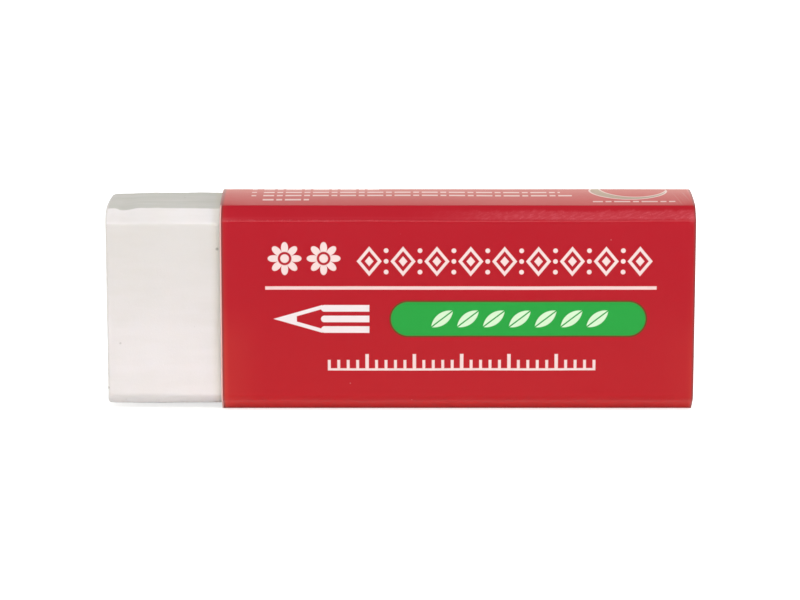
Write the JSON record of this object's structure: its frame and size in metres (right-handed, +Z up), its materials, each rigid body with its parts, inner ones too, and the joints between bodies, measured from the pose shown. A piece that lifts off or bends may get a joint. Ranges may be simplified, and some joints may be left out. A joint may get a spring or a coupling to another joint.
{
  "type": "eraser in a card sleeve",
  "caption": "Bevelled block of white eraser rubber, PVC-free, that slides in a folded red card sleeve and bares its working end.",
  "frame": {"origin": "under the middle of the whole, on the surface that the sleeve's lower panel stands on", "axes": "+X along the length, away from the bare working end; +Y through the thickness, away from the printed front; +Z up, across the height"},
  "size_m": [0.0624, 0.012, 0.0222],
  "materials": {
    "eraser_rubber": "matt, off-white, soft edges and cut ends",
    "printed_card": "glossy red print with white and green shapes outside, bare white card inside and at the cut edges"
  },
  "bodies": {
    "block": {"eraser_block": "eraser_rubber"},
    "sleeve": {"card_sleeve": "printed_card"}
  },
  "joints": [
    {"name": "sleeve_slide", "type": "slide", "parent": "block", "child": "sleeve", "axis": [1, 0, 0], "range_m": [-0.012, 0.051]}
  ]
}
